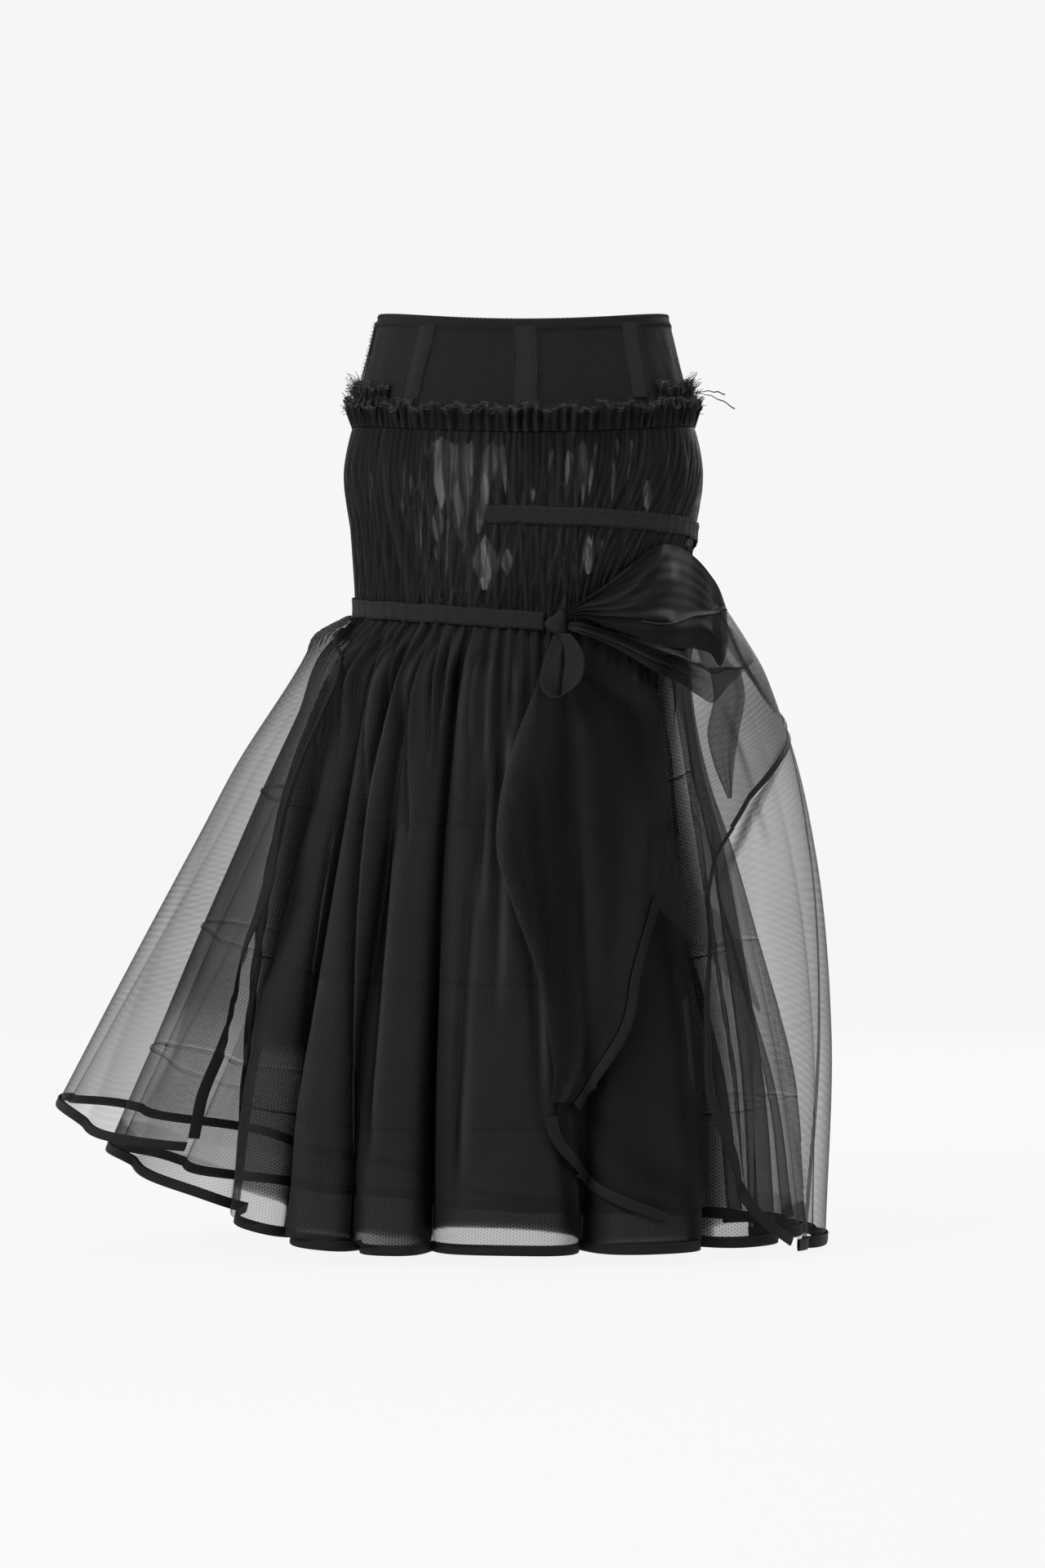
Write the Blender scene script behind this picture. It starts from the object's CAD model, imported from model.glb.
"""The looks of the black organza skirt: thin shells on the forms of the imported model, in its own frame.

Metres, +Z up. The front faces -Y and the wearer's left is +X. An angle of 0 degrees is the centre front,
90 the wearer's left side. The first tables and functions repeat the part's own, so that each shell lies on
the solid that it stands for. A sheer cloth carries the optical depth of its layers at each point.
"""

import math

import bpy
import numpy as np
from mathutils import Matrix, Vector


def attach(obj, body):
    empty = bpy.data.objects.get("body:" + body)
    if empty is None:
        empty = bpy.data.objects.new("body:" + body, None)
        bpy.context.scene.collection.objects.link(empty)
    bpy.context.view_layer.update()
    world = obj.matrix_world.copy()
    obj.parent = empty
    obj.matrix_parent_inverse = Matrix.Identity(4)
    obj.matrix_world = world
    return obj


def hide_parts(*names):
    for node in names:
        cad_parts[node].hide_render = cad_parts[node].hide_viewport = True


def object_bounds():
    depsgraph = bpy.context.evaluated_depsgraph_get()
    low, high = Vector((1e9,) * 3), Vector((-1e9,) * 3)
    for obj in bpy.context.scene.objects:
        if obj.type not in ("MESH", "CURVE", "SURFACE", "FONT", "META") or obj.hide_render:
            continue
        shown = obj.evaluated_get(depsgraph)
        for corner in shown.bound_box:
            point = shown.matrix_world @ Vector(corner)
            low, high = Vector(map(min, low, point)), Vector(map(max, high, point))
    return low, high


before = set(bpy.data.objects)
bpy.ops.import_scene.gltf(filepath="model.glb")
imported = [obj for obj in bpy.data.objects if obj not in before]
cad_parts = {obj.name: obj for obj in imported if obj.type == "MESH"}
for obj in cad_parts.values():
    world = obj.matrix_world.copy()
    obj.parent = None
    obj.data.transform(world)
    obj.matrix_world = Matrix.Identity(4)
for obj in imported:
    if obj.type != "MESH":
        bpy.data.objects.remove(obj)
cad_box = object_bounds()

# ---------------------------------------------------------------- sizes that repeat the part's own
YOKE_HEIGHT = 0.097
FRONT_DIP = 0.012
TAPE_WIDTH = 0.0155
TAPE_OUT = 0.0040
SKIRT_BELOW_TAPE = 0.0035
BINDING_WIDTH = 0.009
BODY = (
    ("z", "half_width", "half_depth"),
    (0.0, 0.1264, 0.093),
    (-0.033, 0.134, 0.0995),
    (-0.066, 0.1425, 0.1075),
    (-0.097, 0.149, 0.114),
    (-0.138, 0.155, 0.12),
    (-0.192, 0.1485, 0.1188),
    (-0.25, 0.1455, 0.118),
    (-0.3, 0.145, 0.118),
)
TAPE = (
    ("turn", "z"),
    (-12, -0.181),
    (40, -0.185),
    (80, -0.19),
    (180, -0.24),
    (270, -0.256),
    (318, -0.264),
    (371, -0.274),
)
TAPE_END_TURN = 366.7
KNOT_ANGLE = 11.0
TAPE_LEAVES_SEAM = 80.0
UNDERSKIRT = (
    ("drop", "right_side", "left_side", "front", "back"),
    (0.0, 0.146, 0.145, 0.118, 0.118),
    (0.06, 0.176, 0.147, 0.125, 0.126),
    (0.18, 0.2, 0.149, 0.135, 0.137),
    (0.32, 0.23, 0.162, 0.147, 0.149),
    (0.45, 0.256, 0.185, 0.157, 0.16),
    (0.6, 0.286, 0.205, 0.168, 0.172),
    (0.8, 0.324, 0.229, 0.182, 0.187),
    (1.0, 0.364, 0.244, 0.195, 0.201),
)
OVERSKIRT = (
    ("drop", "right_side", "left_side", "front", "back"),
    (0.0, 0.1525, 0.1525, 0.1235, 0.1235),
    (0.03, 0.178, 0.16, 0.133, 0.133),
    (0.08, 0.192, 0.184, 0.143, 0.145),
    (0.16, 0.214, 0.208, 0.154, 0.158),
    (0.29, 0.25, 0.238, 0.168, 0.174),
    (0.45, 0.286, 0.259, 0.182, 0.19),
    (0.7, 0.342, 0.272, 0.202, 0.212),
    (1.0, 0.4075, 0.267, 0.22, 0.23),
)
UNDERSKIRT_HEM = (
    ("angle", "z"),
    (-180, -0.8),
    (-140, -0.77),
    (-90, -0.725),
    (-55, -0.752),
    (-33, -0.792),
    (0, -0.799),
    (45, -0.799),
    (90, -0.797),
    (180, -0.8),
)
OVERSKIRT_HEM = (
    ("angle", "z"),
    (-180, -0.795),
    (-140, -0.725),
    (-105, -0.69),
    (-90, -0.685),
    (-60, -0.71),
    (-38, -0.723),
    (0, -0.77),
    (45, -0.799),
    (90, -0.805),
    (180, -0.795),
)
FLUTES = (
    ("valley", "depth"),
    (-70, 0.006),
    (-44.5, 0.04),
    (-34.5, 0.034),
    (-23.5, 0.034),
    (-13, 0.044),
    (13.7, 0.056),
    (44, 0.046),
    (72, 0.038),
    (98, 0.016),
    (122, 0.034),
    (147, 0.038),
    (168, 0.046),
    (192, 0.04),
    (213, 0.036),
    (240, 0.016),
    (264, 0.008),
)
VALLEY_POWER = 2.4
VALLEY_PULL = 0.16
FLUTE_DRIFT = 20.0
FLUTE_GROWTH = 0.85
HEM_DROP = 0.0165
EDGE_GAP = 0.0011
OVERSKIRT_FLUTE_SHARE = 0.85
FLAP_FLUTE_SHARE = 0.25
FLAP_FADES = (60, 160)
OVERSKIRT_ABOVE_SEAM = 0.0030
OVERSKIRT_BACK = (98, 264)
OVERSKIRT_EDGES = (
    ("drop", "right_side_angle", "left_side_angle"),
    (0.0, -57.0, 92.0),
    (0.09, -43.0, 92.0),
    (0.18, -41.8, 91.0),
    (0.25, -42.0, 82.0),
    (0.3, -42.0, 62.0),
    (0.35, -42.0, 44.0),
    (0.4, -41.7, 34.5),
    (0.45, -41.5, 31.8),
    (0.54, -41.5, 31.5),
    (0.68, -44.0, 31.5),
    (0.82, -46.0, 35.0),
    (0.92, -47.6, 46.0),
    (0.96, -47.6, 52.5),
    (1.0, -47.6, 61.0),
)
FRONT_DRAPE = (
    ("drop", "left_x", "right_x", "out"),
    (0.0095, 0.019, 0.043, 0.006),
    (0.04, 0.016, 0.048, 0.0065),
    (0.1, 0.0075, 0.08, 0.009),
    (0.18, -0.0065, 0.113, 0.009),
    (0.27, -0.017, 0.118, 0.009),
    (0.37, -0.0185, 0.1165, 0.009),
    (0.46, -0.005, 0.104, 0.009),
    (0.56, 0.009, 0.092, 0.009),
    (0.66, 0.0166, 0.0823, 0.009),
    (0.715, 0.0195, 0.0622, 0.009),
    (0.767, 0.018, 0.0345, 0.009),
)
UNDER_DRAPE = (
    ("drop", "left_x", "right_x", "out"),
    (0.42, 0.05, 0.13, 0.0028),
    (0.6, 0.04, 0.146, 0.0028),
    (0.74, 0.026, 0.15, 0.0028),
    (0.793, 0.0228, 0.152, 0.0028),
    (0.826, 0.0276, 0.155, 0.0028),
    (0.86, 0.0427, 0.159, 0.0028),
    (0.894, 0.0674, 0.162, 0.0028),
    (0.923, 0.0965, 0.164, 0.0028),
    (0.95, 0.12, 0.166, 0.0028),
)
DRAPE_TAIL = (
    ("drop", "left_x", "right_x"),
    (0.36, 0.1, 0.118),
    (0.46, 0.115, 0.148),
    (0.55, 0.148, 0.176),
    (0.62, 0.176, 0.19),
    (0.655, 0.196, 0.201),
)
UNDER_DRAPE_FLUTE_SHARE = 0.55
FRONT_DRAPE_FLUTE_SHARE = 0.45
DRAPE_TAIL_OUT = 0.0070
TAIL_ON_DRAPE = 0.0108
DRAPE_TAIL_FLUTE_SHARE = 0.25
SWAG_UPPER = (
    ("x", "top_z", "bottom_z", "top_y", "bottom_y"),
    (0.0378, -0.2655, -0.2715, -0.1252, -0.129),
    (0.0437, -0.2603, -0.27, -0.129, -0.14),
    (0.0663, -0.2441, -0.2765, -0.12, -0.146),
    (0.091, -0.225, -0.285, -0.106, -0.14),
    (0.1157, -0.2065, -0.2928, -0.086, -0.126),
    (0.1334, -0.2055, -0.2956, -0.066, -0.11),
    (0.1475, -0.2123, -0.2956, -0.05, -0.092),
    (0.1616, -0.2264, -0.2991, -0.042, -0.078),
    (0.1729, -0.2441, -0.3076, -0.036, -0.066),
    (0.1778, -0.2582, -0.292, -0.037, -0.063),
)
SWAG_LOWER = (
    ("x", "top_z", "bottom_z", "top_y", "bottom_y"),
    (0.038, -0.274, -0.28, -0.1258, -0.1298),
    (0.0459, -0.274, -0.283, -0.134, -0.135),
    (0.0663, -0.2785, -0.2905, -0.131, -0.134),
    (0.084, -0.2829, -0.2991, -0.122, -0.13),
    (0.1122, -0.2899, -0.3153, -0.104, -0.116),
    (0.1334, -0.292, -0.3245, -0.082, -0.096),
    (0.1517, -0.292, -0.3358, -0.062, -0.08),
    (0.1651, -0.285, -0.3414, -0.047, -0.064),
    (0.1792, -0.2737, -0.3259, -0.037, -0.05),
    (0.1912, -0.2864, -0.3146, -0.034, -0.043),
    (0.2011, -0.297, -0.3047, -0.031, -0.036),
)
# The first two rows run up behind the swag, so that the shell's top is hidden.
SWAG_TAIL = (
    ("z", "left_x", "right_x", "y"),
    (-0.308, 0.1612, 0.1885, -0.04),
    (-0.334, 0.1652, 0.1925, -0.059),
    (-0.37, 0.16, 0.187, -0.056),
    (-0.395, 0.1658, 0.1835, -0.054),
    (-0.4246, 0.178, 0.1815, -0.05),
)
YOKE_STRIPS = (
    ("name", "top_angle", "bottom_angle", "half_turn", "top", "bottom"),
    ("bone_channel_right", -39.5, -42.0, 3.8, 0.008, 0.074),
    ("bone_channel_centre", 0.8, 0.8, 4.0, 0.006, 0.079),
    ("bone_channel_left", 45.0, 44.0, 4.0, 0.006, 0.072),
    ("side_placket", -86.0, -86.0, 3.4, 0.006, 0.062),
)
KNOT_HALF = (0.0095, 0.0070, 0.0120)
KNOT_Z = -0.2760
KNOT_OUT = 0.0092

# ---------------------------------------------------------------- sizes of the looks alone
# How far a shell lies inside its solid's face, which is about the middle of the wall.
MID_WALL = 0.0006
# The loop's ribbon as it lies: nearly flat, so that its two strands leave only a narrow gap.
LOOP_RIBBON = (
    ("x", "y", "z", "turned", "width"),
    (0.0305, -0.129, -0.285, 15, 0.01),
    (0.0262, -0.138, -0.301, 12, 0.013),
    (0.0228, -0.145, -0.318, 10, 0.016),
    (0.0235, -0.148, -0.332, 30, 0.018),
    (0.03, -0.15, -0.3385, 75, 0.018),
    (0.04, -0.148, -0.326, 140, 0.018),
    (0.0436, -0.144, -0.31, 160, 0.0175),
    (0.0418, -0.138, -0.296, 165, 0.015),
    (0.0355, -0.131, -0.284, 165, 0.01),
)
# Optical depth of one layer of cloth, seen square on.
ORGANZA_LAYER = 0.35
NET_LAYER = 0.86
# Fine columns of the skirts' shells: in each flute, and between the back and each of the front edges.
COLUMNS_PER_FLUTE = 28
LEFT_EDGE_COLUMNS = 60
RIGHT_EDGE_COLUMNS = 44
TIERS = (
    ("name", "top", "bottom", "rows", "organza_over_net"),
    ("tier_1", 0.0, 0.32, 44, 1.0),
    ("tier_2", 0.32, 0.58, 30, 1.0),
    ("tier_3", 0.58, 0.814, 26, 1.0),
    ("tier_4", 0.814, 1.0, 60, 0.0),
)
# Each tier runs on under the next one by this share of the drop, and the last one into its binding.
SEAM_ALLOWANCE = 0.004
BINDING_ALLOWANCE = 0.002
# A binding's folded section: share of its width from its sewn edge, and height over the cloth.
BINDING_SECTION = (
    ("share", "out"),
    (0.0, 0.0013),
    (0.3, 0.0015),
    (0.75, 0.0014),
    (1.0, 0.0008),
    (1.04, 0.0),
    (1.0, -0.0008),
    (0.75, -0.0013),
    (0.3, -0.0013),
    (0.0, -0.0012),
)
RUFFLES = (
    ("name", "start", "end", "top", "seam", "top_out", "seam_out", "waves", "height", "columns"),
    ("ruffle_lower", 0, 360, 0.0785, 0.0985, 0.0092, 0.0022, 84, 0.0034, 1800),
    ("ruffle_upper", 52, 308, 0.0635, 0.0808, 0.0058, 0.002, 52, 0.0026, 1100),
)
# The overskirt's front edges: the column that each runs along, on which side its binding lies, from which
# drop to which, where the binding widens, its least width, and whether it is sheer.
FRONT_EDGES = (
    ("name", "column", "side", "low", "high", "widens", "wide", "least", "is_sheer"),
    ("overskirt_left", 0, -1, 0.38, 0.992, 0.45, 0.95, 0.0022, False),
    ("overskirt_left_upper", 0, -1, 0.02, 0.38, 0.45, 0.95, 0.0042, True),
    ("overskirt_right", -1, 1, 0.02, 0.992, 0.38, 0.5, 0.0022, False),
)
# Every piece of thread work: stitches, curled yarns, hairs and rolled rims.
THREAD_WORK = (
    ("piece", "radius", "sides", "slot", "yarn"),
    ("yoke_serging", 0.0005, 4, "yoke_canvas", "thread"),
    ("yoke_zigzag", 0.00032, 4, "yoke_canvas", "thread"),
    ("strip_stitching", 0.0003, 4, "tape", "thread"),
    ("strip_fraying", 0.00013, 3, "tape", "thread"),
    ("ruffle_lower_curls", 0.00046, 4, "frayed_organza", "curl"),
    ("ruffle_lower_hairs", 0.00014, 3, "frayed_organza", "thread"),
    ("ruffle_upper_curls", 0.00046, 4, "frayed_organza", "curl"),
    ("ruffle_upper_hairs", 0.00014, 3, "frayed_organza", "thread"),
    ("loose_threads", 0.00026, 3, "frayed_organza", "thread"),
    ("tape_stitching", 0.00028, 4, "tape", "thread"),
    ("tier_zigzag", 0.00022, 3, "net", "thread"),
    ("hem_stitching", 0.00028, 3, "tape", "thread"),
    ("drape_stitching", 0.00028, 3, "tape", "thread"),
    ("swag_upper_rim", 0.00075, 6, "organza", "thread"),
    ("swag_lower_rim", 0.00075, 6, "organza", "thread"),
)
# Cloths: colour, roughness and sheen, then the weave's pitch and directions, and how strongly it shows.
CLOSE_CLOTHS = (
    ("name", "colour", "rough", "sheen", "pitch", "directions", "relief"),
    ("yoke_canvas_weave", (0.005, 0.005, 0.0053), 0.85, 0.03, 0.0011, (0, 90), 0.5),
    ("tape_ribbed", (0.0064, 0.0064, 0.0068), 0.7, 0.04, 0.0012, (0,), 0.6),
    ("bias_binding", (0.0034, 0.0034, 0.0037), 0.65, 0.01, 0.001, (45, 135), 0.4),
    ("sewing_thread", (0.013, 0.013, 0.0135), 0.6, 0.05, 0.0006, (60,), 0.5),
    ("curled_yarn", (0.026, 0.026, 0.0268), 0.6, 0.06, 0.0006, (60,), 0.5),
)
SHEER_CLOTHS = (
    ("name", "colour", "rough", "sheen", "pitch", "directions", "weave_share", "moire_share"),
    ("organza_weave", (0.004, 0.004, 0.0043), 0.48, 0.006, 0.001, (0, 90), 0.015, 0.34),
    ("hexagon_net", (0.0033, 0.0033, 0.0035), 0.55, 0.006, 0.0026, (0, 60, 120), 0.14, 0.08),
    ("gathered_organza", (0.0042, 0.0042, 0.0045), 0.48, 0.008, 0.001, (0, 90), 0.03, 0.06),
    ("frayed_organza_weave", (0.0058, 0.0058, 0.0062), 0.75, 0.01, 0.001, (0, 90), 0.08, 0.1),
)
LIGHTS = (
    ("name", "place", "size", "power"),
    ("key", (-2.2, -2.2, 1.3), 1.2, 120.0),
    ("fill", (2.6, -2.0, 0.2), 1.6, 22.0),
    ("back", (1.2, 2.6, 1.2), 1.6, 70.0),
)
LIGHTS_AIM = (0.0, 0.0, -0.4)
STUDIO_WHITE = (0.923, 0.923, 0.923, 1)

# Places in the gathered hip where fewer layers lie on each other: a line down each, its width and depth.
HIP_SLITS = (
    ("x_top", "z_top", "x_bottom", "z_bottom", "width", "depth"),
    (-0.0703, -0.1149, -0.0703, -0.1757, 0.0175, 0.52),
    (-0.0737, -0.1716, -0.0737, -0.2065, 0.009, 0.8),
    (-0.0259, -0.1177, -0.0391, -0.1988, 0.0125, 0.66),
    (-0.0329, -0.199, -0.0329, -0.25, 0.016, 0.62),
    (0.0077, -0.1583, 0.0077, -0.1716, 0.004, 0.9),
    (0.0507, -0.1177, 0.0507, -0.1716, 0.0077, 0.8),
    (0.0559, -0.199, 0.0559, -0.2359, 0.0084, 0.8),
    (0.1069, -0.1499, 0.1069, -0.1771, 0.008, 0.9),
    (-0.0968, -0.145, -0.0968, -0.166, 0.0025, 0.9),
    (-0.1325, -0.1338, -0.1325, -0.1771, 0.0025, 0.9),
    (-0.014, -0.2093, -0.014, -0.2338, 0.008, 0.9),
    (-0.0744, -0.2065, -0.0744, -0.2198, 0.005, 0.9),
    (-0.0524, -0.1184, -0.0524, -0.2037, 0.0195, 1.15),
    (-0.102, -0.13, -0.105, -0.19, 0.003, 1.3),
    (-0.062, -0.125, -0.066, -0.23, 0.0045, 1.3),
    (-0.086, -0.15, -0.09, -0.235, 0.003, 1.4),
    (-0.045, -0.118, -0.044, -0.15, 0.006, 0.8),
    (-0.018, -0.12, -0.015, -0.165, 0.005, 1.1),
    (0.025, -0.125, 0.018, -0.16, 0.0035, 1.1),
    (0.04, -0.125, 0.033, -0.175, 0.005, 0.9),
    (0.062, -0.12, 0.056, -0.165, 0.004, 0.9),
    (0.08, -0.115, 0.076, -0.17, 0.0045, 0.9),
    (0.093, -0.115, 0.09, -0.15, 0.003, 0.9),
    (0.06, -0.2, 0.048, -0.233, 0.005, 0.9),
    (0.068, -0.201, 0.062, -0.218, 0.0035, 1.0),
)

# Ridges of the swags: three points each, by x and by share of the way from the top to the bottom edge.
UPPER_RIDGES = (
    ("x_1", "share_1", "x_2", "share_2", "x_3", "share_3", "height", "width"),
    (0.04, 0.2, 0.06, 0.1, 0.095, 0.04, 0.004, 0.1),
    (0.042, 0.42, 0.0854, 0.4, 0.125, 0.03, 0.007, 0.13),
    (0.042, 0.6, 0.09, 0.58, 0.133, 0.3, 0.006, 0.14),
    (0.042, 0.8, 0.09, 0.74, 0.13, 0.74, 0.0055, 0.08),
    (0.05, 0.93, 0.1, 0.88, 0.17, 0.7, 0.003, 0.08),
)
UPPER_RIM = (
    ("x", "share"),
    (0.08, 0.75),
    (0.1267, 0.76),
    (0.145, 0.66),
    (0.1638, 0.47),
    (0.174, 0.2),
    (0.1778, 0.05),
)
LOWER_RIDGES = (
    ("x_1", "share_1", "x_2", "share_2", "x_3", "share_3", "height", "width"),
    (0.042, 0.3, 0.09, 0.16, 0.15, 0.4, 0.0045, 0.1),
    (0.05, 0.7, 0.1, 0.62, 0.16, 0.72, 0.005, 0.14),
)
LOWER_RIM = (
    ("x", "share"),
    (0.08, 0.02),
    (0.1183, 0.24),
    (0.1554, 0.42),
    (0.1841, 0.78),
    (0.2011, 0.95),
)
# Where the swags are a single layer, as lines with a width and an optical depth.
SWAG_THIN = (
    ("x_top", "z_top", "x_bottom", "z_bottom", "width", "depth"),
    (0.139, -0.296, 0.154, -0.306, 0.013, 0.7),
    (0.185, -0.278, 0.188, -0.312, 0.02, 0.55),
)

# The main folds of the underskirt's front: where each one's steep edge runs, its height and its width.
UNDERSKIRT_FOLDS = (
    ("x_1", "drop_1", "x_2", "drop_2", "x_3", "drop_3", "height", "width"),
    (-0.148, 0.03, -0.188, 0.24, -0.245, 1.0, 0.014, 0.034),
    (-0.118, 0.03, -0.139, 0.27, -0.198, 1.0, 0.014, 0.034),
    (-0.093, 0.02, -0.118, 0.25, -0.1416, 1.0, 0.014, 0.032),
    (-0.048, 0.04, -0.059, 0.27, -0.0736, 1.0, 0.013, 0.04),
    (0.01, 0.2, 0.03, 0.6, 0.047, 1.0, 0.006, 0.03),
    (0.09, 0.1, 0.125, 0.5, 0.15, 1.0, 0.006, 0.02),
    (-0.139, 0.02, -0.156, 0.1, -0.175, 0.28, 0.006, 0.013),
    (-0.13, 0.02, -0.144, 0.09, -0.156, 0.2, 0.006, 0.011),
    (-0.109, 0.02, -0.118, 0.1, -0.129, 0.3, 0.007, 0.013),
    (-0.101, 0.01, -0.107, 0.06, -0.112, 0.14, 0.005, 0.009),
    (-0.078, 0.02, -0.088, 0.1, -0.096, 0.34, 0.007, 0.015),
    (-0.069, 0.01, -0.074, 0.08, -0.079, 0.2, 0.006, 0.011),
    (-0.06, 0.01, -0.065, 0.08, -0.07, 0.16, 0.005, 0.01),
    (-0.037, 0.01, -0.04, 0.1, -0.043, 0.26, 0.006, 0.013),
    (-0.026, 0.02, -0.029, 0.14, -0.033, 0.46, 0.008, 0.015),
    (-0.015, 0.01, -0.017, 0.07, -0.02, 0.18, 0.005, 0.011),
    (-0.005, 0.03, -0.013, 0.2, -0.019, 0.62, 0.008, 0.019),
    (-0.015, 0.22, 0.008, 0.45, 0.02, 0.8, 0.006, 0.026),
    (-0.105, 0.34, -0.113, 0.55, -0.123, 0.86, 0.005, 0.018),
    (-0.038, 0.4, -0.045, 0.6, -0.05, 0.92, 0.005, 0.02),
    (-0.162, 0.36, -0.176, 0.55, -0.195, 0.9, 0.005, 0.018),
)
# Above the hem the net is a single layer, which lets the light in: where that starts, and its layers.
HEM_WINDOWS = (
    ("angle", "starts", "layers"),
    (-180, 0.965, 0.9),
    (-60, 0.955, 0.75),
    (-45, 0.945, 0.75),
    (-36, 0.955, 0.8),
    (-34, 0.99, 9.0),
    (-24, 0.99, 9.0),
    (-22.5, 0.972, 1.6),
    (-18, 0.985, 3.0),
    (-14, 0.99, 4.0),
    (-12.5, 0.962, 0.8),
    (0, 0.971, 0.9),
    (12.5, 0.984, 1.2),
    (15, 0.995, 8.0),
    (44, 0.995, 8.0),
    (48, 0.975, 1.2),
    (74, 0.97, 0.9),
    (180, 0.965, 0.8),
)
# The same kind of folds at the back, turned half round, which the photograph doesn't show.
BACK_TURN = np.array([-1.0, -1.0, 1.0])

# Creases across the flap on the wearer's left, each through three points, with its width and extra layers.
FLAP_CREASES = (
    ("x_1", "z_1", "x_2", "z_2", "x_3", "z_3", "width", "layers"),
    (0.233, -0.368, 0.196, -0.433, 0.162, -0.506, 0.0026, 3.6),
    (0.242, -0.356, 0.205, -0.426, 0.172, -0.49, 0.0022, 1.2),
    (0.167, -0.336, 0.19, -0.398, 0.209, -0.462, 0.003, 1.4),
    (0.174, -0.57, 0.208, -0.685, 0.222, -0.785, 0.003, 1.0),
    (0.201, -0.545, 0.225, -0.69, 0.245, -0.775, 0.0028, 0.9),
)


# ---------------------------------------------------------------- functions that repeat the part's own
def column(table, name):
    """One named column of a table whose first row names the columns."""
    place = table[0].index(name)
    return np.array([row[place] for row in table[1:]])


def columns(table, *names):
    return [column(table, name) for name in names]


def row_of(table, name):
    """What a table says of the piece that is named in its first column."""
    return next(row[1:] for row in table[1:] if row[0] == name)


def through(xs, ys, x):
    """The value at x of a smooth curve through the points (xs, ys), straight past either end."""
    xs, ys, x = (np.asarray(v, float) for v in (xs, ys, x))
    slopes = np.gradient(ys, xs)
    i = np.clip(np.searchsorted(xs, x) - 1, 0, len(xs) - 2)
    span = xs[i + 1] - xs[i]
    u = np.clip((x - xs[i]) / span, 0, 1)
    value = (
        ys[i] * (1 + 2 * u) * (1 - u) ** 2
        + slopes[i] * span * u * (1 - u) ** 2
        + ys[i + 1] * u**2 * (3 - 2 * u)
        - slopes[i + 1] * span * u**2 * (1 - u)
    )
    before = np.minimum(x - xs[0], 0) * slopes[0]
    after = np.maximum(x - xs[-1], 0) * slopes[-1]
    return value + before + after


def wrapped(angle):
    """The angle in degrees, from -180 to 180."""
    return (np.asarray(angle, float) + 180) % 360 - 180


def front_dip(angle):
    return FRONT_DIP * np.maximum(np.cos(np.radians(angle)), 0) ** 2


def body_point(angle, z, out):
    """A point on the yoke and hip, moved out by a distance along the outline's own normal."""
    heights = column(BODY, "z")[::-1]
    half_width = through(heights, column(BODY, "half_width")[::-1], z)
    half_depth = through(heights, column(BODY, "half_depth")[::-1], z)
    across, ahead = np.sin(np.radians(angle)), np.cos(np.radians(angle))
    normal = np.stack([half_depth * across, -half_width * ahead])
    normal = normal / np.linalg.norm(normal, axis=0)
    x = half_width * across + out * normal[0]
    y = -half_depth * ahead + out * normal[1]
    return np.stack([x, y, z + 0 * x], axis=-1)


def tape_z(turn):
    return through(column(TAPE, "turn"), column(TAPE, "z"), turn)


def seam_z(angle):
    """Height of the skirts' top edge, which follows the tape and climbs in front of the wearer's left."""
    turn = np.where(wrapped(angle) < KNOT_ANGLE, wrapped(angle) + 360, wrapped(angle))
    low = tape_z(360 + KNOT_ANGLE)
    high = tape_z(TAPE_LEAVES_SEAM)
    climb = np.clip((turn - KNOT_ANGLE) / (TAPE_LEAVES_SEAM - KNOT_ANGLE), 0, 1)
    climb = climb * climb * (3 - 2 * climb)
    middle = np.where(turn < TAPE_LEAVES_SEAM, low + (high - low) * climb, tape_z(turn))
    return middle - TAPE_WIDTH / 2 - SKIRT_BELOW_TAPE


def flute(angle):
    """Where an angle lies in its flute, from -1 to 1, the depth there, and half the flute's width."""
    valleys = column(FLUTES, "valley")
    depths = column(FLUTES, "depth")
    depths = np.append(depths, depths[0])
    turned = (np.asarray(angle, float) - valleys[0]) % 360 + valleys[0]
    ends = np.append(valleys, valleys[0] + 360)
    i = np.clip(np.searchsorted(ends, turned, side="right") - 1, 0, len(valleys) - 1)
    half = (ends[i + 1] - ends[i]) / 2
    u = (turned - ends[i]) / half - 1
    return u, depths[i] + (depths[i + 1] - depths[i]) * (u + 1) / 2, half


def reached(reach, side, drop):
    return through(column(reach, "drop"), column(reach, side), drop)


def skirt_point(reach, hem, line, drop, flute_share=1.0, out=0.0, top=0.0):
    """A point of a skirt. line is the angle at the hem of the fold line that it lies on."""
    u, depth, half = flute(line)
    grown = np.maximum(drop, 0) ** FLUTE_GROWTH
    angle = line + FLUTE_DRIFT * np.clip(1 - drop, 0, 1) * np.sin(np.radians(line))
    angle = angle + VALLEY_PULL * half * np.sin(math.pi * u) * grown
    rad = np.radians(angle)
    right, left, front, back = (reached(reach, side, drop) for side in reach[0][1:])
    wide = np.where(np.sin(rad) < 0, right, left)
    deep = np.where(np.cos(rad) > 0, front, back)
    x, y = wide * np.sin(rad), -deep * np.cos(rad)
    normal = np.stack([deep * np.sin(rad), -wide * np.cos(rad)])
    normal = normal / np.linalg.norm(normal, axis=0)
    moved = out - flute_share * depth * grown * np.abs(u) ** VALLEY_POWER
    top_z = seam_z(angle) + top
    hem_z = through(column(hem, "angle"), column(hem, "z"), wrapped(line))
    z = top_z + (hem_z - top_z) * drop
    return np.stack([x + moved * normal[0], y + moved * normal[1], z], axis=-1)


def line_at(reach, x, drop):
    """The fold line of a skirt's front that passes x at this drop."""
    wide = np.where(x < 0, reached(reach, "right_side", drop), reached(reach, "left_side", drop))
    angle = np.degrees(np.arcsin(np.clip(x / wide, -0.99, 0.99)))
    line = angle
    for _ in range(6):
        line = angle - FLUTE_DRIFT * np.clip(1 - drop, 0, 1) * np.sin(np.radians(line))
    return line


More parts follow.
